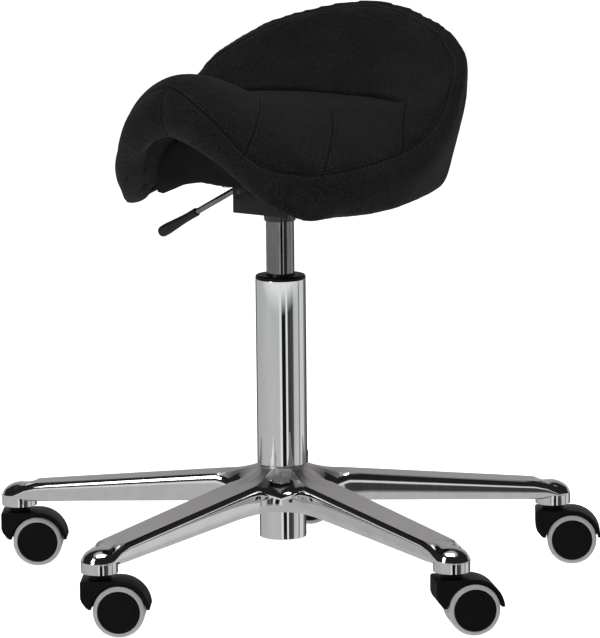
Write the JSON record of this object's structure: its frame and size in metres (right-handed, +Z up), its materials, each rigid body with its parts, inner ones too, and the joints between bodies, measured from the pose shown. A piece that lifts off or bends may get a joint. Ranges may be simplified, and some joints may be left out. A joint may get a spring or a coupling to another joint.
{
  "type": "saddle stool",
  "caption": "Height-adjustable saddle stool with a padded split-free fabric saddle seat and low back rim, gas spring, polished star base and twin-wheel castors.",
  "frame": {"origin": "on the floor, on the axis of the column", "axes": "+Z up, -Y towards the front of the seat, +X to the sitter's left"},
  "size_m": [0.6155, 0.5865, 0.573],
  "materials": {
    "polished_aluminium": "polished sides, satin ground top faces",
    "column_chrome": "mirror chrome plate",
    "dark_chrome": "dark mirror plate",
    "dark_steel": "dark zinc",
    "bright_steel": "turned steel",
    "painted_steel": "blue-grey powder coat",
    "brass": "turned",
    "black_plastic": "satin moulded nylon",
    "grey_tread": "soft grey polyurethane",
    "black_rubber": "matt",
    "plywood": "moulded beech plywood",
    "seat_foam": "moulded polyurethane foam",
    "black_fabric": "matt woven upholstery fabric",
    "black_felt": "non-woven dust cover"
  },
  "bodies": {
    "base": {"base_star": "polished_aluminium", "column_tube": "column_chrome", "column_floor": "dark_steel", "guide_bush": "black_plastic", "rod_clip": "dark_steel", "bearing_lower_race": "bright_steel", "castor_stems": "bright_steel", "stem_grip_rings": "dark_steel"},
    "gas_rod": {"piston_rod": "bright_steel", "piston": "brass", "bearing_balls": "bright_steel", "rubber_buffer": "black_rubber"},
    "seat": {"gas_cylinder": "dark_chrome", "cylinder_gland": "black_plastic", "cylinder_valve": "brass", "taper_socket": "dark_steel", "mechanism_box": "painted_steel", "seat_plate": "painted_steel", "seat_bolts": "bright_steel", "bolt_inserts": "brass", "lever_pivot_pin": "bright_steel", "seat_shell": "plywood", "seat_foam": "seat_foam", "seat_cover": "black_fabric", "dust_cover": "black_felt"},
    "lever": {"lever_arm": "dark_steel", "lever_rod": "dark_chrome", "lever_grip": "black_rubber"},
    "release_valve": {"release_pin": "bright_steel"},
    "castor_1": {"castor_hood_1": "black_plastic", "castor_axle_1": "bright_steel"},
    "left_wheel_1": {"wheel_left_1": "black_plastic", "tread_left_1": "grey_tread"},
    "right_wheel_1": {"wheel_right_1": "black_plastic", "tread_right_1": "grey_tread"},
    "castor_2": {"castor_hood_2": "black_plastic", "castor_axle_2": "bright_steel"},
    "left_wheel_2": {"wheel_left_2": "black_plastic", "tread_left_2": "grey_tread"},
    "right_wheel_2": {"wheel_right_2": "black_plastic", "tread_right_2": "grey_tread"},
    "castor_3": {"castor_hood_3": "black_plastic", "castor_axle_3": "bright_steel"},
    "left_wheel_3": {"wheel_left_3": "black_plastic", "tread_left_3": "grey_tread"},
    "right_wheel_3": {"wheel_right_3": "black_plastic", "tread_right_3": "grey_tread"},
    "castor_4": {"castor_hood_4": "black_plastic", "castor_axle_4": "bright_steel"},
    "left_wheel_4": {"wheel_left_4": "black_plastic", "tread_left_4": "grey_tread"},
    "right_wheel_4": {"wheel_right_4": "black_plastic", "tread_right_4": "grey_tread"},
    "castor_5": {"castor_hood_5": "black_plastic", "castor_axle_5": "bright_steel"},
    "left_wheel_5": {"wheel_left_5": "black_plastic", "tread_left_5": "grey_tread"},
    "right_wheel_5": {"wheel_right_5": "black_plastic", "tread_right_5": "grey_tread"}
  },
  "joints": [
    {"name": "seat_swivel", "type": "hinge", "parent": "base", "child": "gas_rod", "pos_m": [0, 0, 0.2], "axis": [0, 0, 1], "continuous": true},
    {"name": "seat_lift", "type": "slide", "parent": "gas_rod", "child": "seat", "axis": [0, 0, 1], "range_m": [-0.05, 0.08]},
    {"name": "height_lever", "type": "hinge", "parent": "seat", "child": "lever", "pos_m": [-0.022, -0.01, 0.3955], "axis": [0, 1, 0], "range_deg": [0, 12], "stiffness_Nm_per_rad": 0.8, "springref_deg": -5.73},
    {"name": "release_stroke", "type": "slide", "parent": "seat", "child": "release_valve", "axis": [0, 0, 1], "range_m": [-0.0048, 0]},
    {"name": "castor_swivel_1", "type": "hinge", "parent": "base", "child": "castor_1", "pos_m": [0, -0.286, 0.05], "axis": [0, 0, 1], "continuous": true},
    {"name": "left_wheel_spin_1", "type": "hinge", "parent": "castor_1", "child": "left_wheel_1", "pos_m": [0.01551, -0.27502, 0.025], "axis": [-0.5779, 0.8161, 0], "continuous": true},
    {"name": "right_wheel_spin_1", "type": "hinge", "parent": "castor_1", "child": "right_wheel_1", "pos_m": [0.01551, -0.27502, 0.025], "axis": [-0.5779, 0.8161, 0], "continuous": true},
    {"name": "castor_swivel_2", "type": "hinge", "parent": "base", "child": "castor_2", "pos_m": [0.272, -0.08838, 0.05], "axis": [0, 0, 1], "continuous": true},
    {"name": "left_wheel_spin_2", "type": "hinge", "parent": "castor_2", "child": "left_wheel_2", "pos_m": [0.2851, -0.07462, 0.025], "axis": [-0.7242, 0.6896, 0], "continuous": true},
    {"name": "right_wheel_spin_2", "type": "hinge", "parent": "castor_2", "child": "right_wheel_2", "pos_m": [0.2851, -0.07462, 0.025], "axis": [-0.7242, 0.6896, 0], "continuous": true},
    {"name": "castor_swivel_3", "type": "hinge", "parent": "base", "child": "castor_3", "pos_m": [0.16811, 0.23138, 0.05], "axis": [0, 0, 1], "continuous": true},
    {"name": "left_wheel_spin_3", "type": "hinge", "parent": "castor_3", "child": "left_wheel_3", "pos_m": [0.18344, 0.2426, 0.025], "axis": [-0.5906, 0.807, 0], "continuous": true},
    {"name": "right_wheel_spin_3", "type": "hinge", "parent": "castor_3", "child": "right_wheel_3", "pos_m": [0.18344, 0.2426, 0.025], "axis": [-0.5906, 0.807, 0], "continuous": true},
    {"name": "castor_swivel_4", "type": "hinge", "parent": "base", "child": "castor_4", "pos_m": [-0.16811, 0.23138, 0.05], "axis": [0, 0, 1], "continuous": true},
    {"name": "left_wheel_spin_4", "type": "hinge", "parent": "castor_4", "child": "left_wheel_4", "pos_m": [-0.15313, 0.24308, 0.025], "axis": [-0.6157, 0.788, 0], "continuous": true},
    {"name": "right_wheel_spin_4", "type": "hinge", "parent": "castor_4", "child": "right_wheel_4", "pos_m": [-0.15313, 0.24308, 0.025], "axis": [-0.6157, 0.788, 0], "continuous": true},
    {"name": "castor_swivel_5", "type": "hinge", "parent": "base", "child": "castor_5", "pos_m": [-0.272, -0.08838, 0.05], "axis": [0, 0, 1], "continuous": true},
    {"name": "left_wheel_spin_5", "type": "hinge", "parent": "castor_5", "child": "left_wheel_5", "pos_m": [-0.25671, -0.0771, 0.025], "axis": [-0.5934, 0.8049, 0], "continuous": true},
    {"name": "right_wheel_spin_5", "type": "hinge", "parent": "castor_5", "child": "right_wheel_5", "pos_m": [-0.25671, -0.0771, 0.025], "axis": [-0.5934, 0.8049, 0], "continuous": true}
  ],
  "couplings": [
    {"joint": "release_stroke", "follows": "height_lever", "m_per_rad": -0.022}
  ]
}
